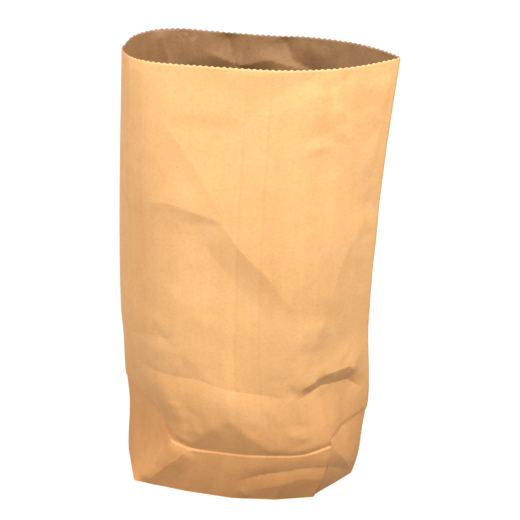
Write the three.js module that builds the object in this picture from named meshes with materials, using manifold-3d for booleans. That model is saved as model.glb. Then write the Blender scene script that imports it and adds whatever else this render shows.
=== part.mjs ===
// Paper waste sack: a kraft paper tube with a lengthwise glued lap, a folded cross bottom and a
// pinked mouth. It stands empty and open, and keeps the folds that packing it flat has left.
// Millimetres, +Z up. The front wall faces -Y, and the origin is on the underside of the bottom.
import * as THREE from "three";
import { mergeVertices } from "three/addons/utils/BufferGeometryUtils.js";
import Module from "manifold-3d";

// The flat sack and its paper
const FLAT_WIDTH = 550; // the tube laid flat, from side fold to side fold
const STANDING_HEIGHT = 838; // floor to the tips of the mouth's teeth
const PAPER = 0.3; // the wall: two plies that lie on each other
const LAP_WIDTH = 41; // the glued lap along the tube
const LAP_OFFSET = 31; // from the middle of the front wall to the middle of the lap
const LAP_EDGE = 3; // the slope where the lap's cut edge steps down
const TOOTH_DEPTH = 3; // the pinked edge of the mouth
const TOOTH_PITCH = 10;

// The folded bottom: a hexagon with two long sides and pointed ends
const BOTTOM_DEPTH = 184; // between the two long sides
const LEFT_TIP_REACH = 38; // how far the left pointed end stands out past its corners
const RIGHT_TIP_REACH = 58;
const FLAP_OVERLAP = 40; // how far its two flaps pass each other
const FRONT_BOW = 20; // the front edge bows out
const BOW_FADE = 260; // the height at which the bow has run out

// The opened tube leans to the right and backwards. At each of these heights: how far each wall stands
// from the line between the side folds, where the middle of that line lies, and how far the corners
// stand in from the folds.
const KNEE_HEIGHT = 125;
const KNEE_DEPTH = 104;
const KNEE_X = 12.5;
const KNEE_Y = 5;
const KNEE_LEFT_TIP = 98;
const KNEE_RIGHT_TIP = 44;
const DENT_HEIGHT = 230;
const DENT_DEPTH = 109.5;
const DENT_X = 12.5;
const DENT_Y = 8;
const BELLY_HEIGHT = 330;
const BELLY_DEPTH = 111.5;
const BELLY_X = 8.5;
const BELLY_Y = 11;
const WAIST_HEIGHT = 560;
const WAIST_DEPTH = 109.5;
const WAIST_X = 16.5;
const WAIST_Y = 17;
const MOUTH_DEPTH = 96.5;
const MOUTH_X = 36;
const MOUTH_Y = 24;
const UPPER_TIP = 85; // the corners of all the sections above the knee
const BACK_SLUMP = 9; // how far the middle of the back wall sinks at the mouth

// Square goes from a lens (0) to flat walls with corners (1), and blunt shapes the two ends of the lens
const SECTIONS = [
  {
    height: 0,
    place: [BOTTOM_DEPTH / 2, 0, 0],
    tips: [LEFT_TIP_REACH, RIGHT_TIP_REACH],
    blunt: [6, 6],
    square: 1,
  },
  {
    height: KNEE_HEIGHT,
    place: [KNEE_DEPTH, KNEE_X, KNEE_Y],
    tips: [KNEE_LEFT_TIP, KNEE_RIGHT_TIP],
    blunt: [4.5, 4.5],
    square: 0.8,
  },
  {
    height: DENT_HEIGHT,
    place: [DENT_DEPTH, DENT_X, DENT_Y],
    tips: [UPPER_TIP, UPPER_TIP],
    blunt: [4, 3.8],
    square: 0.4,
  },
  {
    height: BELLY_HEIGHT,
    place: [BELLY_DEPTH, BELLY_X, BELLY_Y],
    tips: [UPPER_TIP, UPPER_TIP],
    blunt: [3.8, 3.4],
    square: 0.2,
  },
  {
    height: WAIST_HEIGHT,
    place: [WAIST_DEPTH, WAIST_X, WAIST_Y],
    tips: [UPPER_TIP, UPPER_TIP],
    blunt: [4.4, 3],
    square: 0.05,
  },
  {
    height: STANDING_HEIGHT,
    place: [MOUTH_DEPTH, MOUTH_X, MOUTH_Y],
    tips: [UPPER_TIP, UPPER_TIP],
    blunt: [7, 2.6],
    square: 0,
  },
];

// The crease that folded the bottom flat: a valley across the front, which climbs to both side folds
const CREASE_AT_LEFT_FOLD = 172;
const CREASE_AT_LEFT_CORNER = 117;
const CREASE_AT_LAP = 106;
const CREASE_AT_RIGHT_CORNER = 126;
const CREASE_AT_RIGHT_FOLD = 146;
const BACK_ROW = 140; // the same row of the mesh on the plain back wall
const CREASE_DEPTH = 16; // how far the valley is pressed in
const CREASE_RUN_OUT = 60; // along the crease, where it fades into a side fold
const LEDGE_RISE = 0.8; // the ledge under the crease, as a share of the crease's height
const LEDGE_PROUD = 9; // how far the ledge stands out
const BROW_RISE = 55; // the bulge above the crease
const BROW_PROUD = 8;
const BROW_FADE = 190; // above the crease, where the bulge has run out into the wall

// Soft folds pressed into the front wall: points across and up the wall, how far the crest stands out
// (or the valley in), and how far each runs out above and below its line
const DIAGONAL_LINE = [[-215, 606], [-40, 584], [20, 515], [98, 428], [178, 402]];
const DIAGONAL_PROUD = 10;
const DIAGONAL_ABOVE = 150;
const DIAGONAL_BELOW = 46;
const CRESCENT_LINE = [[122, 236], [165, 258], [222, 282]];
const CRESCENT_DEEP = 11;
const CRESCENT_ABOVE = 42;
const CRESCENT_BELOW = 80;
const TUCK_LINE = [[-160, 288], [-40, 266], [84, 243], [122, 238]];
const TUCK_DEEP = 5;
const TUCK_ABOVE = 40;
const TUCK_BELOW = 60;
const FRONT_FOLDS = [
  { line: DIAGONAL_LINE, proud: DIAGONAL_PROUD, above: DIAGONAL_ABOVE, below: DIAGONAL_BELOW },
  { line: CRESCENT_LINE, proud: -CRESCENT_DEEP, above: CRESCENT_ABOVE, below: CRESCENT_BELOW },
  { line: TUCK_LINE, proud: -TUCK_DEEP, above: TUCK_ABOVE, below: TUCK_BELOW },
];
const FOLD_RUN_OUT = 50; // along the wall, where these folds fade into a side fold

// How fine the mesh is
const LOWER_STEPS = 4; // rows from the floor to the crease
const UPPER_STEPS = 20; // rows from the crease to the mouth
const ROW_GROWTH = 0.4; // how much the rows open out towards the mouth
const PROFILE_STEPS = 160; // samples of one wall's section
const RIM_STRIP = 14; // the strip of wall under the teeth

const { lerp, smoothstep, mapLinear } = THREE.MathUtils;

// Smooth values between the sections
const sectionValues = SECTIONS.map(({ place, tips, blunt, square }) => [...place, ...tips, ...blunt, square]);
const sectionCurve = new THREE.CubicInterpolant(
  SECTIONS.map((section) => section.height),
  sectionValues.flat(),
  sectionValues[0].length,
);

function sectionAt(height) {
  const values = sectionCurve.evaluate(Math.min(height, STANDING_HEIGHT));
  const [depth, x, y, leftTip, rightTip, leftBlunt, rightBlunt, square] = values;
  return { depth, x, y, leftTip, rightTip, leftBlunt, rightBlunt, square: Math.max(0, square) };
}

// One wall's distance from the line between the side folds, as a share of its depth
function wallShare(across, halfSpan, section) {
  const [blunt, tip] = across < 0 ? [section.leftBlunt, section.leftTip] : [section.rightBlunt, section.rightTip];
  const lens = 1 - Math.abs(across) ** blunt;
  const box = Math.min(1, ((1 - Math.abs(across)) * halfSpan) / tip);
  return lerp(lens, box, section.square);
}

// One wall as a line of points from fold to fold, for a given half distance between the folds
function wallLine(halfSpan, section) {
  const points = [];
  for (let i = 0; i <= PROFILE_STEPS; i++) {
    const across = (2 * i) / PROFILE_STEPS - 1;
    points.push(new THREE.Vector2(across * halfSpan, section.depth * wallShare(across, halfSpan, section)));
  }
  return points;
}

function lengthsAlong(points) {
  const lengths = [0];
  for (let i = 1; i < points.length; i++) lengths.push(lengths[i - 1] + points[i].distanceTo(points[i - 1]));
  return lengths;
}

// Paper doesn't stretch: the side folds stand as far apart as lets each wall keep its flat width
function openSection(height) {
  const section = sectionAt(height);
  let low = 0;
  let high = FLAT_WIDTH / 2;
  while (high - low > PAPER / 100) {
    const middle = (low + high) / 2;
    if (lengthsAlong(wallLine(middle, section)).at(-1) > FLAT_WIDTH) high = middle;
    else low = middle;
  }
  const line = wallLine(low, section);
  return { section, line, lengths: lengthsAlong(line) };
}

// A point of the smooth tube: the distance around it starts at the left side fold, front wall first
function tubePoint(opened, around, height) {
  const { section, line, lengths } = opened;
  const onFront = around <= FLAT_WIDTH;
  const along = ((onFront ? around : 2 * FLAT_WIDTH - around) / FLAT_WIDTH) * lengths.at(-1);
  const next = Math.max(1, Math.min(PROFILE_STEPS, lengths.findIndex((length) => length >= along - PAPER / 100)));
  const share = (along - lengths[next - 1]) / (lengths[next] - lengths[next - 1]);
  const place = line[next - 1].clone().lerp(line[next], share);
  const slump = onFront ? 0 : BACK_SLUMP * Math.sin((Math.PI * along) / lengths.at(-1)) ** 2;
  return new THREE.Vector3(
    section.x + place.x,
    section.y + (onFront ? -place.y : place.y),
    height - slump * (height / STANDING_HEIGHT) ** 2,
  );
}

// Straight runs between knots
function between(knots, at) {
  const next = knots.findIndex(([place]) => place >= at);
  if (next === 0) return knots[0][1];
  if (next < 0) return knots.at(-1)[1];
  const [from, to] = [knots[next - 1], knots[next]];
  return mapLinear(at, from[0], to[0], from[1], to[1]);
}

// How far the bottom's crease moves the front wall out, and the bow of the bottom's front edge
function creaseProud(around, height, crease) {
  const fromFold = Math.min(around, FLAT_WIDTH - around);
  const ledge = LEDGE_PROUD * smoothstep(fromFold, BOTTOM_DEPTH / 3, BOTTOM_DEPTH);
  const profile = [
    [0, 0],
    [crease * LEDGE_RISE, ledge],
    [crease, -CREASE_DEPTH],
    [crease + BROW_RISE, BROW_PROUD],
    [crease + BROW_FADE, 0],
  ];
  const bow = FRONT_BOW * Math.sin((Math.PI * around) / FLAT_WIDTH) ** 2;
  return between(profile, height) * smoothstep(fromFold, 0, CREASE_RUN_OUT) + bow * (1 - smoothstep(height, 0, BOW_FADE));
}

// How far one soft fold moves a point of the front wall out
function foldProud(fold, x, z) {
  const point = new THREE.Vector3(x, z, 0);
  let nearest = Infinity;
  let side = 1;
  for (let i = 1; i < fold.line.length; i++) {
    const run = new THREE.Line3(new THREE.Vector3(...fold.line[i - 1]), new THREE.Vector3(...fold.line[i]));
    const foot = run.closestPointToPoint(point, true, new THREE.Vector3());
    if (foot.distanceTo(point) < nearest) {
      nearest = foot.distanceTo(point);
      side = run.delta(new THREE.Vector3()).cross(point.clone().sub(run.start)).z;
    }
  }
  return fold.proud * Math.max(0, 1 - nearest / (side > 0 ? fold.above : fold.below)) ** 1.5;
}

// A point of the folded wall: the smooth tube, moved out or in by its folds
function foldedPoint(around, height, crease) {
  const opened = openSection(height);
  const place = tubePoint(opened, around, height);
  if (around <= 0 || around >= FLAT_WIDTH) return place;
  const run = tubePoint(opened, around + 1, height).sub(tubePoint(opened, around - 1, height));
  const outward = new THREE.Vector3(run.y, -run.x, 0).normalize();
  const held = smoothstep(Math.min(around, FLAT_WIDTH - around), 0, FOLD_RUN_OUT);
  const folds = FRONT_FOLDS.reduce((sum, fold) => sum + foldProud(fold, place.x, height), 0);
  return place.addScaledVector(outward, creaseProud(around, height, crease) + held * folds);
}

// The mesh's columns run between these places around the sack. The corners move with the height, and
// each place gives the height of the crease's row there and the number of columns to the next place.
function cornerAt(side) {
  return (height) => {
    const section = sectionAt(height);
    return Math.hypot(section[side], section.depth);
  };
}
const leftCorner = cornerAt("leftTip");
const rightCorner = cornerAt("rightTip");
const lapStart = FLAT_WIDTH / 2 + LAP_OFFSET - LAP_WIDTH / 2;
const lapEnd = lapStart + LAP_WIDTH;
const PLACES = [
  { at: () => 0, crease: CREASE_AT_LEFT_FOLD, steps: 5 },
  { at: leftCorner, crease: CREASE_AT_LEFT_CORNER, steps: 8 },
  { at: () => lapStart, crease: CREASE_AT_LAP, steps: 1 },
  { at: () => lapStart + LAP_EDGE, crease: CREASE_AT_LAP, steps: 2, lap: true },
  { at: () => lapEnd - LAP_EDGE, crease: CREASE_AT_LAP, steps: 1, lap: true },
  { at: () => lapEnd, crease: CREASE_AT_LAP, steps: 6 },
  { at: (height) => FLAT_WIDTH - rightCorner(height), crease: CREASE_AT_RIGHT_CORNER, steps: 5 },
  { at: () => FLAT_WIDTH, crease: CREASE_AT_RIGHT_FOLD, steps: 5 },
  { at: (height) => FLAT_WIDTH + rightCorner(height), crease: BACK_ROW, steps: 18 },
  { at: (height) => 2 * FLAT_WIDTH - leftCorner(height), crease: BACK_ROW, steps: 5 },
];
const LAST_PLACE = { at: () => 2 * FLAT_WIDTH, crease: CREASE_AT_LEFT_FOLD };

const columns = PLACES.flatMap((place, i) => {
  const next = PLACES[i + 1] ?? LAST_PLACE;
  return Array.from({ length: place.steps }, (_, step) => {
    const share = step / place.steps;
    return {
      at: (height) => lerp(place.at(height), next.at(height), share),
      crease: lerp(place.crease, next.crease, share),
      lap: step === 0 ? place.lap : place.lap && next.lap,
    };
  });
});

// Heights of the mesh's rows in one column
function rowHeights(crease) {
  const heights = [];
  const ledge = crease * LEDGE_RISE;
  const top = STANDING_HEIGHT - TOOTH_DEPTH - RIM_STRIP;
  for (let i = 0; i < LOWER_STEPS; i++) heights.push(lerp(2 * PAPER, ledge, i / (LOWER_STEPS - 1)));
  for (let i = 0; i <= UPPER_STEPS; i++) {
    const share = i / UPPER_STEPS;
    heights.push(lerp(crease, top, lerp(share, share ** 2, ROW_GROWTH)));
  }
  return heights;
}

// The wall as rows of points from the floor up, and the toothed rim as runs of points per column
const wall = [];
for (const column of columns) {
  rowHeights(column.crease).forEach((height, row) => {
    wall[row] ??= [];
    wall[row].push(foldedPoint(column.at(height), height, column.crease));
  });
}
const rimRuns = columns.map((column, i) => {
  const start = column.at(STANDING_HEIGHT);
  const end = columns[i + 1]?.at(STANDING_HEIGHT) ?? 2 * FLAT_WIDTH;
  const points = Math.max(1, 2 * Math.round((end - start) / TOOTH_PITCH));
  return Array.from({ length: points }, (_, k) => {
    const root = foldedPoint(lerp(start, end, k / points), STANDING_HEIGHT - TOOTH_DEPTH, column.crease);
    root.z += k % 2 === 0 ? 0 : TOOTH_DEPTH;
    return root;
  });
});

// Points of closed rings moved out of the sack (or into it), square to the rows and columns around them
function moved(rows, distance) {
  return rows.map((ring, row) =>
    ring.map((point, i) => {
      const around = ring[(i + 1) % ring.length].clone().sub(ring.at(i - 1));
      const up = (rows[row + 1] ?? rows[row])[i].clone().sub((rows[row - 1] ?? rows[row])[i]);
      if (rows.length === 1) up.set(0, 0, 1);
      return point.clone().addScaledVector(around.cross(up).normalize(), distance(i));
    }),
  );
}

// A closed skin of triangles
class Skin {
  points = [];
  triangles = [];

  add(points) {
    const first = this.points.length;
    this.points.push(...points);
    return points.map((_, i) => first + i);
  }

  // Both sides of the paper are split along the same diagonals, so they stay one thickness apart
  face(corners, flip) {
    for (let i = 2; i < corners.length; i++) {
      const [second, third] = flip ? [i, i - 1] : [i - 1, i];
      this.triangles.push(corners[0], corners[second], corners[third]);
    }
  }

  // Faces between two rings of the same count, the lower one first
  band(lower, upper, flip) {
    lower.forEach((corner, i) => {
      const next = (i + 1) % lower.length;
      this.face([corner, lower[next], upper[next], upper[i]], flip);
    });
  }

  // Faces between the wall's last row and the rim, which has a run of points for each column
  teeth(row, rim, runs, flip) {
    let first = 0;
    row.forEach((corner, i) => {
      const next = row[(i + 1) % row.length];
      const run = Array.from({ length: runs[i] + 1 }, (_, k) => rim[(first + k) % rim.length]);
      const half = Math.ceil(runs[i] / 2);
      for (let k = 0; k < half; k++) this.face([corner, run[k + 1], run[k]], flip);
      this.face([corner, next, run[half]], flip);
      for (let k = half; k < runs[i]; k++) this.face([next, run[k + 1], run[k]], flip);
      first += runs[i];
    });
  }

  // A flat cap on a ring, as a fan from its middle
  cap(ring, height, flip) {
    const [centre] = this.add([new THREE.Vector3(0, 0, height)]);
    ring.forEach((corner, i) => this.face([centre, corner, ring[(i + 1) % ring.length]], flip));
  }

  geometry() {
    return new THREE.BufferGeometry().setFromPoints(this.points).setIndex(this.triangles);
  }
}

// The sack's wall and floor as one closed skin of paper. The glued lap is a second thickness outside.
const lapAt = (i) => (columns[i].lap ? PAPER : 0);
const runCounts = rimRuns.map((run) => run.length);
const runColumns = rimRuns.flatMap((run, i) => run.map((_, k) => (k === 0 || columns[(i + 1) % columns.length].lap ? i : -1)));
const outerWall = moved(wall, lapAt);
const innerWall = moved(wall, () => -PAPER);
innerWall[0].forEach((point) => (point.z = 3 * PAPER));
const [outerRim] = moved([rimRuns.flat()], (k) => (runColumns[k] < 0 ? 0 : lapAt(runColumns[k])));
const [innerRim] = moved([rimRuns.flat()], () => -PAPER);

function paperSkin() {
  const skin = new Skin();
  const outer = outerWall.map((ring) => skin.add(ring));
  const inner = innerWall.map((ring) => skin.add(ring));
  const rim = skin.add(outerRim);
  const insideRim = skin.add(innerRim);
  for (let row = 1; row < outer.length; row++) {
    skin.band(outer[row - 1], outer[row], false);
    skin.band(inner[row - 1], inner[row], true);
  }
  skin.teeth(outer.at(-1), rim, runCounts, false);
  skin.teeth(inner.at(-1), insideRim, runCounts, true);
  skin.band(rim, insideRim, false);
  skin.cap(outer[0], 2 * PAPER, true);
  skin.cap(inner[0], 3 * PAPER, false);
  return skin.geometry();
}

// One flap of the cross bottom: it runs from a long side of the bottom past the middle, and its ends
// are folded at 45 degrees
function bottomFlap(edge, freeY, foot) {
  const [first, last] = [edge[0], edge.at(-1)];
  const reach = Math.abs(freeY - first.y);
  const towards = Math.sign(last.x - first.x);
  const outline = [
    ...edge.map((point) => new THREE.Vector2(point.x, point.y)),
    new THREE.Vector2(last.x - towards * reach, freeY),
    new THREE.Vector2(first.x + towards * reach, freeY),
  ];
  const flap = new THREE.ExtrudeGeometry(new THREE.Shape(outline), { depth: 2.5 * PAPER - foot, bevelEnabled: false });
  return flap.translate(0, 0, foot);
}

const stepsBefore = (count) => PLACES.slice(0, count).reduce((sum, place) => sum + place.steps, 0);
const frontEdge = innerWall[0].slice(stepsBefore(1), stepsBefore(6) + 1);
const backEdge = innerWall[0].slice(stepsBefore(8), stepsBefore(9) + 1);

// Join the paper skin and the two flaps into one solid. The back flap is folded over last.
const solids = await Module();
solids.setup();

function solid(geometry) {
  const bare = new THREE.BufferGeometry().setAttribute("position", geometry.getAttribute("position"));
  const merged = mergeVertices(bare.setIndex(geometry.getIndex()), 1e-4);
  const triVerts = new Uint32Array(merged.index.array);
  return new solids.Manifold(new solids.Mesh({ numProp: 3, vertProperties: merged.attributes.position.array, triVerts }));
}

const joined = solid(paperSkin())
  .add(solid(bottomFlap(frontEdge, FLAP_OVERLAP / 2, PAPER)))
  .add(solid(bottomFlap(backEdge, -FLAP_OVERLAP / 2, 0)))
  .getMesh();
const geometry = new THREE.BufferGeometry()
  .setAttribute("position", new THREE.BufferAttribute(joined.vertProperties, joined.numProp))
  .setIndex(new THREE.BufferAttribute(joined.triVerts, 1));
geometry.computeVertexNormals();

const kraft = new THREE.MeshStandardMaterial({ color: 0xe0a869, roughness: 0.82, metalness: 0 });
const sack = new THREE.Mesh(geometry, kraft);
sack.name = "paper_sack";

const part = new THREE.Group();
part.add(sack);
export default part;
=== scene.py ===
"""A kraft paper waste sack that stands open and empty: one sheet of paper, glued into a tube, creased flat,
opened and stood up. The sheet is made flat, cut along its folds, and then bent into the sack."""

import math
import random

import bmesh
import bpy
import numpy as np
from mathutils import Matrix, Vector


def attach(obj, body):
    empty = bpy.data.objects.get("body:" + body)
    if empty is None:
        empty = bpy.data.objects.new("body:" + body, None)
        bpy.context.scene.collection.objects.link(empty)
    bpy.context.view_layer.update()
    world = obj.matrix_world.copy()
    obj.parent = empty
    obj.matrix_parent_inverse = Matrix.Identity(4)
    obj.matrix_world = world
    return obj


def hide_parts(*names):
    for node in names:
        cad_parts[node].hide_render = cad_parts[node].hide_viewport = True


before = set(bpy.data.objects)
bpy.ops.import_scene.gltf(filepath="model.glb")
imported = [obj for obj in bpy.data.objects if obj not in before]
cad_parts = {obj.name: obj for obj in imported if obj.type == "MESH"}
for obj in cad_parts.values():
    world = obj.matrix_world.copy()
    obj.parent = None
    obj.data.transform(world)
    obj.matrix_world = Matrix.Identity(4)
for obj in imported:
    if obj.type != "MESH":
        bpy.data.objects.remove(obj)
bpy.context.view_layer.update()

# The flat sack in millimetres: places on the paper are (distance around the tube, height up the wall),
# and the distance starts at the left side fold and runs along the front wall first.
MM = 0.001
FLAT_WIDTH = 550.0
AROUND = 2 * FLAT_WIDTH
STANDING_HEIGHT = 838.0
PAPER = 0.3
TOOTH_PITCH = 10.0
TOOTH_DEPTH = 2.2
RIM_DROP = 5.0
LEFT_RIM_DROP = 11.0
LAP_START = 285.5
LAP_END = 326.5
BOW_START = 30.0
BOW_END = 500.0
BACK_SLUMP = 9.0
FLAP_OVERLAP = 40.0
FLAP_HALF = 188.0
BOTTOM_HALF = 194.0
BOTTOM_SLANT = 0.42
FRONT_FLAP_EDGE = -76.0
REAR_FLAP_EDGE = 84.0

# The sheet's mesh: its rows, the faces cut near a fold, the row of teeth, the weld at the left side fold,
# the zone of the foot, the dip of the rim beside that fold, and the strip along both folds that stays calm
ROW_PITCH = 5.0
CUT_REACH = 12.0
CUT_END_REACH = 9.0
CUT_SNAP = 0.4
RIM_ROW = 0.5
WELD = 1e-5
FOOT_ZONE = 0.01
FRONT_DIP_WIDTH = 75.0
BACK_DIP_WIDTH = 20.0
CALM_EDGE = 25.0

# Sections of the opened tube from the floor to the mouth
SECTION_HEIGHTS = np.array([0.0, 125.0, 230.0, 330.0, 560.0, STANDING_HEIGHT])
SECTION_DEPTHS = np.array([92.0, 104.0, 109.5, 111.5, 109.5, 96.5])
SECTION_X = np.array([0.0, 12.5, 12.5, 8.5, 16.5, 36.0])
SECTION_Y = np.array([0.0, 5.0, 8.0, 11.0, 17.0, 24.0])
LEFT_TIPS = np.array([38.0, 132.0, 110.0, 85.0, 85.0, 85.0])
RIGHT_TIPS = np.array([58.0, 44.0, 85.0, 85.0, 85.0, 85.0])
LEFT_BLUNT = np.array([6.0, 4.5, 4.0, 3.8, 4.4, 7.0])
RIGHT_BLUNT = np.array([6.0, 4.5, 3.8, 3.4, 3.0, 2.6])
SQUARE = np.array([1.0, 0.8, 0.08, 0.0, 0.0, 0.0])

# How far the foot of the front wall stands out of the straight line between the bottom's corners
FOOT_LINE = [(0, 0), (100, 4), (200, 19), (290, 25), (370, 16), (450, -8), (550, 0)]

# The valley crease that packed the bottom flat: its height, how deep it is pressed,
# and how high and how proud the facet above it rises
CREASE = [(0, 168), (90, 138), (182, 104), (235, 106), (307, 108), (394, 111), (447, 121), (550, 144)]
CREASE_DEPTH = [(0, 0), (50, 12), (120, 13), (182, 4), (235, 1), (394, 1), (447, 6), (495, 14), (550, 0)]
BROW_RISE = [(0, 10), (60, 20), (130, 20), (182, 12), (222, 50), (270, 74), (330, 14), (447, 10), (550, 8)]
BROW_PROUD = [(0, 4), (60, 14), (130, 14), (182, 5), (222, 10), (270, 14), (330, 4), (447, 3), (550, 2)]
BROW_FADE = 150.0
ROLL_PROUD = 6.5
ROLL_PEAK = 0.86
NOTCH_START = 0.97
LEDGE_KEPT = 0.95
LEDGE_FADE = 640.0
ROLL_START = 70.0
ROLL_FULL = 170.0
FACET_END = 150.0

# Folds that stand further out than this are rubbed over a wider strip
BIG_FOLD = 3.5
BIG_FOLD_WEAR = 4.0
SMALL_FOLD_WEAR = 2.5


def smooth_step(value, low, high):
    share = np.clip((value - low) / (high - low), 0.0, 1.0)
    return share * share * (3.0 - 2.0 * share)


def section_curve(values, heights):
    """Smooth values between the sections."""
    knots = SECTION_HEIGHTS
    runs = np.diff(values) / np.diff(knots)
    slopes = np.empty_like(values)
    slopes[1:-1] = (values[2:] - values[:-2]) / (knots[2:] - knots[:-2])
    slopes[0] = 1.5 * runs[0] - 0.5 * slopes[1]
    slopes[-1] = 1.5 * runs[-1] - 0.5 * slopes[-2]
    low = np.clip(np.searchsorted(knots, heights, side="right") - 1, 0, len(knots) - 2)
    gap = knots[low + 1] - knots[low]
    t = (heights - knots[low]) / gap
    start = (1 + 2 * t) * (1 - t) ** 2 * values[low] + t * (1 - t) ** 2 * gap * slopes[low]
    end = t * t * (3 - 2 * t) * values[low + 1] + t * t * (t - 1) * gap * slopes[low + 1]
    return start + end


class OpenTube:
    """The smooth tube: at each height the side folds stand so far apart that walls keep their width."""

    ROWS = 211
    PLACES = 221
    SAMPLES = 321

    def __init__(self):
        heights = np.linspace(0.0, STANDING_HEIGHT, self.ROWS)
        shapes = (SECTION_DEPTHS, LEFT_TIPS, RIGHT_TIPS, LEFT_BLUNT, RIGHT_BLUNT, SQUARE)
        self.shape = [section_curve(values, heights)[:, None] for values in shapes]
        self.shape[-1] = np.maximum(self.shape[-1], 0.0)
        self.across = np.linspace(-1.0, 1.0, self.SAMPLES)
        low = np.zeros(self.ROWS)
        high = np.full(self.ROWS, FLAT_WIDTH / 2)
        for _ in range(22):
            middle = (low + high) / 2
            too_long = self.lengths(*self.wall(middle))[:, -1] > FLAT_WIDTH
            high = np.where(too_long, middle, high)
            low = np.where(too_long, low, middle)
        sideways, away = self.wall(low)
        lengths = self.lengths(sideways, away)
        places = np.linspace(0.0, 1.0, self.PLACES)
        rows = range(self.ROWS)
        self.sideways = np.array([np.interp(places * lengths[i, -1], lengths[i], sideways[i]) for i in rows])
        self.away = np.array([np.interp(places * lengths[i, -1], lengths[i], away[i]) for i in rows])

    def wall(self, half_span):
        depth, left_tip, right_tip, left_blunt, right_blunt, square = self.shape
        on_left = self.across < 0
        from_middle = np.abs(self.across)
        lens = 1.0 - from_middle ** np.where(on_left, left_blunt, right_blunt)
        tip = np.where(on_left, left_tip, right_tip)
        box = np.minimum(1.0, (1.0 - from_middle) * half_span[:, None] / tip)
        return self.across * half_span[:, None], depth * (lens + (box - lens) * square)

    def lengths(self, sideways, away):
        steps = np.hypot(np.diff(sideways), np.diff(away))
        return np.concatenate([np.zeros((len(steps), 1)), steps.cumsum(axis=1)], axis=1)

    def sample(self, table, row, column):
        low_row = row.astype(int)
        low_column = column.astype(int)
        up = row - low_row
        along = column - low_column
        lower = table[low_row, low_column] * (1 - along) + table[low_row, low_column + 1] * along
        upper = table[low_row + 1, low_column] * (1 - along) + table[low_row + 1, low_column + 1] * along
        return lower * (1 - up) + upper * up

    def points(self, around, height):
        around = np.mod(around, AROUND)
        on_front = around <= FLAT_WIDTH
        along = np.where(on_front, around, AROUND - around)
        row = np.clip(height / STANDING_HEIGHT * (self.ROWS - 1), 0.0, self.ROWS - 1.0001)
        column = np.clip(along / FLAT_WIDTH * (self.PLACES - 1), 0.0, self.PLACES - 1.0001)
        away = self.sample(self.away, row, column)
        slump = BACK_SLUMP * np.sin(np.pi * along / FLAT_WIDTH) ** 2 * (height / STANDING_HEIGHT) ** 2
        x = section_curve(SECTION_X, height) + self.sample(self.sideways, row, column)
        y = section_curve(SECTION_Y, height) + np.where(on_front, -away, away)
        return np.stack([x, y, height - np.where(on_front, 0.0, slump)], axis=1)

    def outward(self, around, height):
        run = self.points(around + 2.0, height) - self.points(around - 2.0, height)
        normal = np.stack([run[:, 1], -run[:, 0]], axis=1)
        return normal / np.linalg.norm(normal, axis=1)[:, None]


class Fold:
    """A crest (or a valley, where proud is negative) along a line on the paper. It runs out above and below
    the line, and tapers to nothing at its two ends."""

    def __init__(self, line, proud, above, below, taper=40.0, sharp=1.5, crisp=False):
        self.line = np.array(line, float)
        self.proud = proud
        self.above = above
        self.below = below
        self.taper = taper
        self.sharp = sharp
        self.crisp = crisp
        self.wear_width = BIG_FOLD_WEAR if abs(proud) > BIG_FOLD else SMALL_FOLD_WEAR

    def distances(self, places):
        nearest = np.full(len(places), np.inf)
        above = np.zeros(len(places), bool)
        gone = np.zeros(len(places))
        start_length = 0.0
        for start, end in zip(self.line, self.line[1:]):
            run = end - start
            length = np.linalg.norm(run)
            offset = places - start
            share = np.clip(offset @ run / length**2, 0.0, 1.0)
            distance = np.linalg.norm(offset - share[:, None] * run, axis=1)
            closer = distance < nearest
            nearest = np.where(closer, distance, nearest)
            above = np.where(closer, run[0] * offset[:, 1] - run[1] * offset[:, 0] > 0, above)
            gone = np.where(closer, start_length + share * length, gone)
            start_length += length
        return nearest, above, np.minimum(gone, start_length - gone)

    def moves(self, places):
        nearest, above, from_end = self.distances(places)
        reach = np.where(above, self.above, self.below)
        held = np.minimum(1.0, from_end / self.taper) if self.taper else 1.0
        return self.proud * held * np.maximum(0.0, 1.0 - nearest / reach) ** self.sharp


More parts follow.
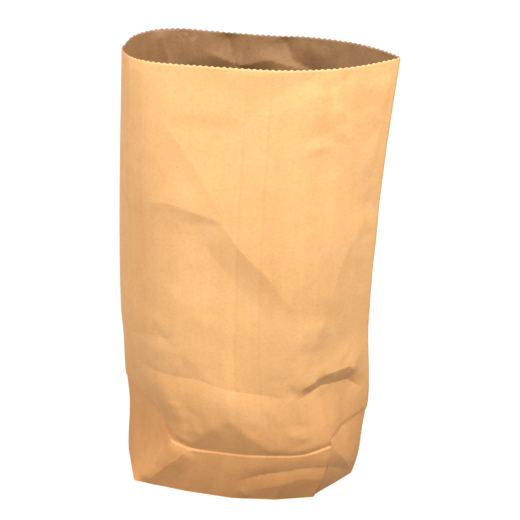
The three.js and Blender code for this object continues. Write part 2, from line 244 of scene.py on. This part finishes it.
# Folds of the front wall, from the mouth down
FRONT_FOLDS = {
    "left_strip": Fold([(72, 838), (72, 752), (66, 639), (34, 559)], 5.0, 70, 45, taper=20),
    "right_strip": Fold([(536, 838), (530, 760), (520, 650)], 2.0, 20, 30),
    "thin_ridge": Fold([(140, 745), (193, 678), (237, 610), (252, 574)], 2.0, 55, 26),
    "right_ridge": Fold([(431, 800), (441, 735), (484, 692), (522, 628)], 2.2, 45, 50),
    "shoulder_crest": Fold(
        [(70, 578), (167, 590), (250, 566), (289, 516), (337, 470), (376, 413), (440, 384)],
        5.5,
        190,
        62,
        taper=130,
        sharp=2.0,
    ),
    "shoulder_foot": Fold(
        [(150, 540), (225, 515), (262, 470), (312, 420), (360, 370)], -2.0, 70, 130, taper=90, sharp=2.0
    ),
    "second_diagonal": Fold([(190, 555), (245, 485), (292, 432)], 1.0, 60, 50, taper=70),
    "right_crest": Fold([(524, 575), (464, 475), (443, 383), (388, 250)], 8.0, 95, 150, taper=90),
    "left_dent": Fold([(0, 283), (40, 290), (120, 317), (196, 333)], -2.2, 34, 60, taper=50),
    "tuck": Fold([(60, 244), (211, 254), (309, 238), (385, 226)], -2.6, 50, 34, crisp=True),
    "crescent_crest": Fold([(388, 238), (430, 266), (495, 264), (522, 240)], 6.5, 60, 24, taper=25),
    "crescent_foot": Fold(
        [(386, 224), (436, 238), (505, 226), (534, 198)], -6.5, 24, 80, taper=25, crisp=True
    ),
    "low_valley": Fold([(548, 8), (452, 70), (393, 78), (326, 64), (272, 40)], -3.2, 40, 30, sharp=2.0),
    "low_ridge": Fold([(470, 40), (398, 54), (307, 18)], 1.6, 30, 36),
    "short_crease": Fold([(293, 30), (319, 2)], 1.6, 16, 16, taper=10),
    "right_corner": Fold([(447, 121), (500, 62), (549, 3)], 8.0, 70, 60, taper=60, crisp=True),
    "left_corner": Fold([(182, 104), (146, 60), (115, 2)], 4.0, 40, 50, taper=15, crisp=True),
}

# Folds of the back wall
BACK_FOLDS = {
    "packing_crease": Fold(
        [(560, 146), (650, 118), (760, 108), (880, 112), (990, 122), (1090, 166)], -6.0, 60, 40, crisp=True
    ),
    "back_diagonal": Fold([(1060, 520), (960, 470), (860, 380), (760, 330)], 4.0, 90, 50),
    "mouth_fold_left": Fold([(1010, 838), (990, 770), (1005, 690)], -6.0, 40, 30, taper=15),
    "mouth_fold_middle": Fold([(890, 838), (872, 780), (820, 735), (800, 640)], 6.5, 34, 44, taper=15),
    "mouth_fold_right": Fold([(790, 838), (770, 790), (700, 756), (640, 740)], 6.5, 40, 40, taper=15),
    "mouth_pleat": Fold([(930, 800), (862, 776), (812, 792), (744, 770)], -5.5, 30, 26),
}


def small_folds(count, seed, low, high, half_lengths, proud, reach):
    """Slight creases from handling, scattered over one area of the sheet."""
    dice = random.Random(seed)
    folds = []
    for _ in range(count):
        middle = Vector((dice.uniform(low[0], high[0]), dice.uniform(low[1], high[1])))
        turn = dice.uniform(0, math.pi)
        half = dice.uniform(*half_lengths) * Vector((math.cos(turn), math.sin(turn)))
        bend = dice.uniform(-0.25, 0.25) * Vector((-half.y, half.x))
        line = [tuple(middle - half), tuple(middle + bend), tuple(middle + half)]
        height = dice.choice((-1, 1)) * dice.uniform(proud / 3, proud)
        folds.append(Fold(line, height, reach, 0.75 * reach, taper=0.6 * half.length))
    return folds


HANDLING_FOLDS = [
    *small_folds(70, 11, (0, 60), (AROUND, STANDING_HEIGHT), (30, 110), 2.2, 50),
    *small_folds(22, 3, (150, 110), (420, 210), (12, 34), 1.3, 16),
    *small_folds(16, 5, (40, 270), (220, 350), (15, 45), 1.2, 18),
    *small_folds(14, 8, (400, 690), (530, 820), (15, 50), 1.2, 20),
    *small_folds(12, 9, (370, 200), (530, 300), (12, 40), 1.2, 16),
    *small_folds(26, 21, (580, 690), (1080, 830), (20, 60), 1.7, 30),
]


def along_line(line, around):
    return np.interp(around, *np.array(line, float).T)


def crease_moves(places):
    """How far the packing crease, the rolled panel under it and the bowed foot move the front wall out."""
    around, height = places.T
    crease = along_line(CREASE, around)
    depth = along_line(CREASE_DEPTH, around)
    rise = along_line(BROW_RISE, around)
    share = height / crease
    from_fold = np.minimum(around, FLAT_WIDTH - around)
    proud = ROLL_PROUD * smooth_step(from_fold, ROLL_START, ROLL_FULL)
    roll = proud * (1.0 - ((np.minimum(share, 1.0) - ROLL_PEAK) / ROLL_PEAK) ** 2)
    end = proud * (1.0 - ((1.0 - ROLL_PEAK) / ROLL_PEAK) ** 2)
    pinch = np.clip((share - NOTCH_START) / (1.0 - NOTCH_START), 0.0, 1.0)
    notch = pinch * (depth + end * (1.0 - LEDGE_KEPT))
    facet = 1.0 - smooth_step(from_fold, ROLL_START, FACET_END)
    side = depth * np.clip(share / NOTCH_START, 0.0, 1.0) ** 2 * facet
    brow = np.clip((height - crease) / rise, 0.0, 1.0) * along_line(BROW_PROUD, around)
    fade = 1.0 - smooth_step(height - crease - rise, 0.0, BROW_FADE)
    carried = LEDGE_KEPT * end * (1.0 - smooth_step(height - crease, 0.0, LEDGE_FADE))
    above = (brow - depth) * fade + carried
    below = roll - np.maximum(notch, side)
    bow = along_line(FOOT_LINE, around) * (1.0 - smooth_step(height, BOW_START, BOW_END))
    pressed = np.where(share > 1.0, above, below)
    return np.where((around > 0) & (around < FLAT_WIDTH), pressed + bow, 0.0)


def paper_moves(places):
    """How far all the folds together move each place on the paper out."""
    around = places[:, 0]
    on_front = (around > 0) & (around < FLAT_WIDTH)
    on_back = around > FLAT_WIDTH
    moves = crease_moves(places)
    for fold in FRONT_FOLDS.values():
        moves = moves + np.where(on_front, fold.moves(places), 0.0)
    for fold in BACK_FOLDS.values():
        moves = moves + np.where(on_back, fold.moves(places), 0.0)
    along = np.mod(around, FLAT_WIDTH)
    calm = smooth_step(np.minimum(along, FLAT_WIDTH - along), 0.0, CALM_EDGE)
    for fold in HANDLING_FOLDS:
        moves = moves + calm * fold.moves(places)
    return moves


def cut_along(sheet, line, crisp=False):
    """Cuts the flat sheet along a line, so that the fold gets its own edges. A crisp one stays unsmoothed."""
    for start, end in zip(line, line[1:]):
        start = Vector((*start, 0.0))
        end = Vector((*end, 0.0))
        run = (end - start).normalized()
        side = Vector((-run.y, run.x, 0.0))
        length = (end - start).length
        near = []
        for face in sheet.faces:
            offset = face.verts[0].co - start
            gone = offset.dot(run)
            if abs(offset.dot(side)) < CUT_REACH and -CUT_END_REACH < gone < length + CUT_END_REACH:
                near.append(face)
        edges = list({edge for face in near for edge in face.edges})
        verts = list({vert for face in near for vert in face.verts})
        geometry = near + edges + verts
        cut = bmesh.ops.bisect_plane(sheet, geom=geometry, dist=CUT_SNAP, plane_co=start, plane_no=side)
        for edge in cut["geom_cut"]:
            if crisp and isinstance(edge, bmesh.types.BMEdge):
                edge.smooth = False


def flat_sheet():
    """The tube cut open at the left side fold and laid flat, with a pinked upper edge."""
    sheet = bmesh.new()
    columns = int(AROUND / TOOTH_PITCH * 2)
    rows = int(STANDING_HEIGHT / ROW_PITCH)
    bmesh.ops.create_grid(sheet, x_segments=columns, y_segments=rows, size=0.5)
    bmesh.ops.translate(sheet, verts=sheet.verts, vec=(0.5, 0.5, 0.0))
    bmesh.ops.scale(sheet, verts=sheet.verts, vec=(AROUND, STANDING_HEIGHT, 1.0))
    cut_along(sheet, CREASE, crisp=True)
    cut_along(sheet, [(around, height * NOTCH_START) for around, height in CREASE], crisp=True)
    for fold in [*FRONT_FOLDS.values(), *BACK_FOLDS.values()]:
        cut_along(sheet, fold.line, fold.crisp)
    return sheet


def worn_folds():
    """The folds that are rubbed pale: the packing crease all round, both corners and the crescent's foot."""
    corners = [FRONT_FOLDS[name] for name in ("right_corner", "left_corner", "crescent_foot")]
    return [Fold(CREASE, -5.0, 1, 1), Fold(BACK_FOLDS["packing_crease"].line, -5.0, 1, 1), *corners]


def bent_into_sack(sheet, tube):
    """Bends the flat sheet into the standing sack, and keeps the flat places as its paper coordinates."""
    paper = sheet.loops.layers.uv.new("paper")
    for face in sheet.faces:
        face.smooth = True
        for loop in face.loops:
            loop[paper].uv = loop.vert.co.xy * MM
    places = np.array([vert.co.xy for vert in sheet.verts])
    around, height = places.T
    points = tube.points(around, height)
    points[:, :2] += tube.outward(around, height) * paper_moves(places)[:, None]
    tooth = np.abs(np.mod(around / TOOTH_PITCH, 1.0) - 0.5) * 2.0
    points[:, 2] -= np.where(height > STANDING_HEIGHT - RIM_ROW, tooth * TOOTH_DEPTH, 0.0)
    from_left = np.minimum(around, AROUND - around)
    dip_width = np.where(around < FLAT_WIDTH, FRONT_DIP_WIDTH, BACK_DIP_WIDTH)
    drop = RIM_DROP + LEFT_RIM_DROP * np.exp(-((from_left / dip_width) ** 2))
    points[:, 2] -= drop * (height / STANDING_HEIGHT) ** 2
    points[:, 2] += 2 * PAPER * (1.0 - height / STANDING_HEIGHT)
    worn = sheet.verts.layers.float.new("worn")
    nearest = np.min([fold.distances(places)[0] / fold.wear_width for fold in worn_folds()], axis=0)
    for vert, point, distance in zip(sheet.verts, points * MM, nearest):
        vert.co = point
        vert[worn] = max(0.0, 1.0 - distance)
    bmesh.ops.remove_doubles(sheet, verts=[v for v in sheet.verts if v.is_boundary], dist=WELD)
    foot = [edge for edge in sheet.edges if edge.is_boundary and max(v.co.z for v in edge.verts) < FOOT_ZONE]
    bmesh.ops.contextual_create(sheet, geom=foot)
    for edge in foot:
        edge.smooth = False
    bmesh.ops.recalc_face_normals(sheet, faces=sheet.faces)


def made_object(name, shape):
    mesh = bpy.data.meshes.new(name)
    shape.to_mesh(mesh)
    shape.free()
    piece = bpy.data.objects.new(name, mesh)
    bpy.context.collection.objects.link(piece)
    return piece


tube = OpenTube()
sheet = flat_sheet()
bent_into_sack(sheet, tube)
sack = made_object("kraft_sack", sheet)
wall = sack.modifiers.new("paper thickness", "SOLIDIFY")
wall.thickness = PAPER * MM
wall.offset = -1.0


def bottom_flap(name, edge, lap, level):
    """A flap folded under the foot: it follows the bottom's slanting ends and laps over the middle."""
    side = 1 if lap > edge else -1
    flap = bmesh.new()
    bmesh.ops.create_grid(flap, x_segments=16, y_segments=8, size=0.5)
    bmesh.ops.scale(flap, verts=flap.verts, vec=(2 * FLAP_HALF * MM, abs(lap - edge) * MM, 1.0))
    bmesh.ops.translate(flap, verts=flap.verts, vec=(0.0, (edge + lap) / 2 * MM, level * MM))
    for end in (-1, 1):
        corner = (end * BOTTOM_HALF * MM, 0.0, 0.0)
        slant = (end * 1.0, -side * BOTTOM_SLANT, 0.0)
        geometry = flap.verts[:] + flap.edges[:] + flap.faces[:]
        bmesh.ops.bisect_plane(
            flap, geom=geometry, dist=1e-6, plane_co=corner, plane_no=slant, clear_outer=True
        )
    paper = flap.loops.layers.uv.new("paper")
    for face in flap.faces:
        for loop in face.loops:
            loop[paper].uv = loop.vert.co.xy
    piece = made_object(name, flap)
    leaf = piece.modifiers.new("paper thickness", "SOLIDIFY")
    leaf.thickness = PAPER * MM
    leaf.offset = 1.0
    return piece


flaps = [
    bottom_flap("rear_flap", REAR_FLAP_EDGE, -FLAP_OVERLAP / 2, PAPER),
    bottom_flap("front_flap", FRONT_FLAP_EDGE, FLAP_OVERLAP / 2, 0.0),
]


class Value:
    """A shader socket that takes part in Python sums."""

    def __init__(self, nodes, socket):
        self.nodes = nodes
        self.socket = socket

    def maths(self, operation, first, second):
        return self.nodes.add("ShaderNodeMath", {"operation": operation}, [first, second])

    def __add__(self, other):
        return self.maths("ADD", self, other)

    def __radd__(self, other):
        return self.maths("ADD", other, self)

    def __sub__(self, other):
        return self.maths("SUBTRACT", self, other)

    def __rsub__(self, other):
        return self.maths("SUBTRACT", other, self)

    def __mul__(self, other):
        return self.maths("MULTIPLY", self, other)

    def __rmul__(self, other):
        return self.maths("MULTIPLY", other, self)


class Finish:
    """A material and its nodes."""

    def __init__(self, name):
        self.material = bpy.data.materials.new(name)
        self.material.use_nodes = True
        self.tree = self.material.node_tree
        self.tree.nodes.clear()

    def add(self, kind, settings=None, inputs=None, output=0):
        node = self.tree.nodes.new(kind)
        for key, value in (settings or {}).items():
            if key == "stops":
                self.set_stops(node.color_ramp, value)
            else:
                setattr(node, key, value)
        pairs = enumerate(inputs) if isinstance(inputs, list) else (inputs or {}).items()
        for key, value in pairs:
            if isinstance(value, Value):
                self.tree.links.new(value.socket, node.inputs[key])
            else:
                node.inputs[key].default_value = value
        return Value(self, node.outputs[output])

    def set_stops(self, ramp, stops):
        while len(ramp.elements) < len(stops):
            ramp.elements.new(0.5)
        for element, (place, level) in zip(ramp.elements, stops):
            element.position = place
            element.color = (level, level, level, 1.0)

    def mix(self, share, first, second, blend="MIX"):
        settings = {"data_type": "RGBA", "blend_type": blend}
        return self.add("ShaderNodeMix", settings, {0: share, 6: first, 7: second}, output=2)

    def noise(self, place, scale, **settings):
        return self.add("ShaderNodeTexNoise", None, {"Vector": place, "Scale": scale, **settings})

    def span(self, value, low, high, start=0.0, end=1.0):
        """Carries a value from between low and high to between start and end."""
        return self.add("ShaderNodeMapRange", None, [value, low, high, start, end])

    def finish(self, shader):
        end = self.tree.nodes.new("ShaderNodeOutputMaterial")
        self.tree.links.new(shader.socket, end.inputs["Surface"])
        return self.material


def linear(red, green, blue):
    def channel(level):
        level /= 255.0
        return level / 12.92 if level <= 0.04045 else ((level + 0.055) / 1.055) ** 2.4

    return (channel(red), channel(green), channel(blue), 1.0)


# The paper's finish: the stretch of its fibres and streaks, and the reach, in metres, and tones of its marks,
# which include painted shade towards the foot and along the lap's edges
FIBRE_STRETCH = (1.0, 0.35, 1.0)
STREAK_STRETCH = (1.0, 0.06, 1.0)
# Painted shade towards the foot: full below the first of these heights, gone above the second
FOOT_SHADE_FULL = 0.03
FOOT_SHADE_END = 0.36
# Painted shade along the two edges of the glued lap: its dark core and how far it fades out, in metres
LAP_LINE = 0.0004
LAP_SHADE = 0.0035
# The tone of the painted shade towards the foot, then the tones of the specks, scuffs and worn folds
FOOT_SHADE_TONE = linear(210, 168, 124)
SPECK_TONE = linear(96, 66, 42)
SCUFF_TONE = linear(214, 182, 150)
WORN_TONE = linear(246, 214, 168)


def kraft_paper(name, dark, light, fibre_tone):
    """Kraft paper with fibres, clouds, mottling, painted shade low down, painted shade along the lap edges,
    specks, scuffs and worn folds.
    """
    finish = Finish(name)
    paper = finish.add("ShaderNodeUVMap", {"uv_map": "paper"})
    along = finish.add("ShaderNodeMapping", None, {0: paper, 3: FIBRE_STRETCH})
    fibre = finish.noise(along, 700.0, Detail=4.0, Roughness=0.7)
    cloud = finish.noise(paper, 30.0, Detail=6.0, Roughness=0.65)
    patch = finish.noise(paper, 7.0, Detail=3.0, Roughness=0.55)
    streaks = finish.add("ShaderNodeMapping", None, {0: paper, 3: STREAK_STRETCH})
    streak = finish.noise(streaks, 45.0, Detail=4.0)
    tone = finish.span(0.4 * cloud + 0.3 * patch + 0.3 * streak, 0.36, 0.64)
    colour = finish.mix(tone, dark, light)
    pale = finish.span(fibre, 0.45, 0.75)
    colour = finish.mix(0.42 * pale, colour, fibre_tone)
    mottle = finish.noise(paper, 150.0, Detail=5.0, Roughness=0.8)
    shade = finish.span(mottle, 0.5, 0.72)
    colour = finish.mix(0.3 * shade, colour, dark, "MULTIPLY")
    place = finish.add("ShaderNodeSeparateXYZ", None, [paper])
    height = finish.add("ShaderNodeSeparateXYZ", None, [paper], output=1)
    # Painted shade: the paper is darker towards the foot, broken up by the clouds
    soft = {"interpolation_type": "SMOOTHSTEP"}
    painted_foot_shade = finish.add("ShaderNodeMapRange", soft, [height, FOOT_SHADE_FULL, FOOT_SHADE_END, 1.0, 0.0])
    foot_shade_patches = finish.span(cloud, 0.3, 0.6, 0.5, 1.0)
    colour = finish.mix(0.5 * painted_foot_shade * foot_shade_patches, colour, FOOT_SHADE_TONE, "MULTIPLY")
    # Painted shade along both edges of the glued lap, stronger and weaker along the streaks
    lap_shade_breakup = finish.span(streak, 0.4, 0.6, 0.2, 1.0)
    for edge in (LAP_START, LAP_END):
        off = finish.add("ShaderNodeMath", {"operation": "ABSOLUTE"}, [place - edge * MM])
        ridge = finish.span(off, LAP_LINE, LAP_SHADE, 1.0, 0.0)
        colour = finish.mix(0.15 * ridge * lap_shade_breakup, colour, dark, "MULTIPLY")
    speck_spread = finish.add("ShaderNodeTexVoronoi", None, {"Vector": paper, "Scale": 42.0})
    speck_pick = finish.noise(paper, 19.0, Detail=0.0)
    speck_size = finish.span(speck_pick, 0.62, 0.80, 0.0, 0.055)
    speck = finish.add("ShaderNodeMath", {"operation": "LESS_THAN"}, [speck_spread, speck_size])
    colour = finish.mix(0.6 * speck, colour, SPECK_TONE)
    scuff_wide = finish.noise(paper, 11.0, Detail=2.0, Distortion=0.6)
    scuff_fine = finish.noise(paper, 130.0, Detail=5.0, Roughness=0.75)
    scuff = finish.span(scuff_wide, 0.55, 0.70) * finish.span(scuff_fine, 0.46, 0.62)
    colour = finish.mix(0.35 * scuff, colour, SCUFF_TONE)
    worn = finish.add("ShaderNodeAttribute", {"attribute_name": "worn"}, None, output=2)
    rub = finish.span(scuff_fine, 0.35, 0.65, 0.25, 1.0)
    colour = finish.mix(0.10 * worn * rub, colour, WORN_TONE)
    relief = 0.6 * fibre + 0.8 * cloud
    normal = finish.add("ShaderNodeBump", None, {"Strength": 0.5, "Distance": 0.0012, "Height": relief})
    shader = finish.add(
        "ShaderNodeBsdfPrincipled",
        None,
        {
            "Base Color": colour,
            "Roughness": 0.62 + 0.14 * fibre + 0.1 * scuff,
            "Specular IOR Level": 0.35,
            "Normal": normal,
        },
    )
    return finish.finish(shader)


OUTSIDE_TONES = (linear(225, 166, 104), linear(237, 182, 120), linear(248, 206, 152))
# The inside is a darker copy of the kraft paper: painted shade for the shadowed inside of the sack
SHADED_INSIDE_TONES = (linear(138, 99, 62), linear(158, 120, 80), linear(176, 140, 102))
sack.data.materials.append(kraft_paper("kraft outside", *OUTSIDE_TONES))
sack.data.materials.append(kraft_paper("kraft inside shaded", *SHADED_INSIDE_TONES))
# The inner shell of the paper gets the darker, painted-shade copy
wall.material_offset = 1
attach(sack, "root")
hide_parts("paper_sack")
for flap in flaps:
    flap.data.materials.append(sack.data.materials[0])
    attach(flap, "root")

# A pale floor that keeps the shadow, soft studio light and a white surround
FLOOR_HALF = 6.0
FLOOR_GREY = (0.2, 0.2, 0.2, 1.0)
FLOOR_GLOW = 1.2
GLOW_SHARE = 0.82
SURROUND_LIGHT = 0.42
WHITE = (1.0, 1.0, 1.0, 1.0)
WHITE_RAYS = ("Is Camera Ray", "Is Glossy Ray", "Is Transmission Ray")


def pale_floor():
    finish = Finish("pale floor")
    rays = [finish.add("ShaderNodeLightPath", output=ray) for ray in WHITE_RAYS]
    camera_ray, glossy_ray, clear_ray = rays
    mirrored = finish.add("ShaderNodeMath", {"operation": "MAXIMUM"}, [glossy_ray, clear_ray])
    white = finish.add("ShaderNodeMath", {"operation": "MAXIMUM"}, [camera_ray, mirrored])
    seen = finish.add("ShaderNodeBsdfDiffuse", None, {"Color": FLOOR_GREY})
    glow = finish.add("ShaderNodeEmission", None, {"Color": WHITE, "Strength": FLOOR_GLOW})
    shader = finish.add("ShaderNodeMixShader", None, [GLOW_SHARE * white, seen, glow])
    return finish.finish(shader)


ground = bmesh.new()
bmesh.ops.create_grid(ground, x_segments=1, y_segments=1, size=FLOOR_HALF)
bmesh.ops.translate(ground, verts=ground.verts, vec=(0.0, 0.0, -PAPER * MM))
floor = made_object("floor", ground)
floor.data.materials.append(pale_floor())

world = bpy.data.worlds.new("studio")
bpy.context.scene.world = world
world.use_nodes = True
surround = world.node_tree.nodes["Background"]
surround.inputs["Color"].default_value = WHITE
seen_ray = world.node_tree.nodes.new("ShaderNodeLightPath")
level = world.node_tree.nodes.new("ShaderNodeMapRange")
level.inputs["To Min"].default_value = SURROUND_LIGHT
level.inputs["To Max"].default_value = 1.0
white_rays = world.node_tree.nodes.new("ShaderNodeVectorMath")
white_rays.operation = "DOT_PRODUCT"
white_rays.inputs[1].default_value = (1.0, 1.0, 1.0)
rays_together = world.node_tree.nodes.new("ShaderNodeCombineXYZ")
for part, ray in enumerate(WHITE_RAYS):
    world.node_tree.links.new(seen_ray.outputs[ray], rays_together.inputs[part])
world.node_tree.links.new(rays_together.outputs["Vector"], white_rays.inputs[0])
world.node_tree.links.new(white_rays.outputs["Value"], level.inputs["Value"])
world.node_tree.links.new(level.outputs["Result"], surround.inputs["Strength"])


def soft_light(name, place, target, size, power):
    lamp = bpy.data.lights.new(name, "AREA")
    lamp.shape = "DISK"
    lamp.size = size
    lamp.energy = power
    holder = bpy.data.objects.new(name, lamp)
    holder.location = place
    holder.rotation_euler = (Vector(target) - Vector(place)).to_track_quat("-Z", "Y").to_euler()
    bpy.context.collection.objects.link(holder)


soft_light("key", (1.1, -0.95, 2.45), (0.0, 0.0, 0.5), 1.2, 76.0)
soft_light("left fill", (-1.7, -1.4, 1.6), (0.0, 0.0, 0.45), 1.4, 35.0)
soft_light("rear fill", (0.5, 2.3, 2.1), (0.0, 0.0, 0.4), 1.6, 55.0)

# The camera: where it looks and from where
CAMERA_AZIMUTH = math.radians(10.0)
CAMERA_ELEVATION = math.radians(28.0)
CAMERA_DISTANCE = 2.6
CAMERA_TARGET = Vector((0.034, 0.046, 0.420))
PHOTO_PIXELS = 520
FOCAL_PIXELS = 1426.0

lens = bpy.data.cameras.new("camera")
lens.sensor_width = 36.0
lens.lens = FOCAL_PIXELS / PHOTO_PIXELS * lens.sensor_width
lens.clip_end = 50.0
camera = bpy.data.objects.new("camera", lens)
back = Vector(
    (
        math.sin(CAMERA_AZIMUTH) * math.cos(CAMERA_ELEVATION),
        -math.cos(CAMERA_AZIMUTH) * math.cos(CAMERA_ELEVATION),
        math.sin(CAMERA_ELEVATION),
    )
)
camera.location = CAMERA_TARGET + back * CAMERA_DISTANCE
camera.rotation_euler = back.to_track_quat("Z", "Y").to_euler()
bpy.context.collection.objects.link(camera)
bpy.context.scene.camera = camera
bpy.context.scene.view_settings.view_transform = "Standard"
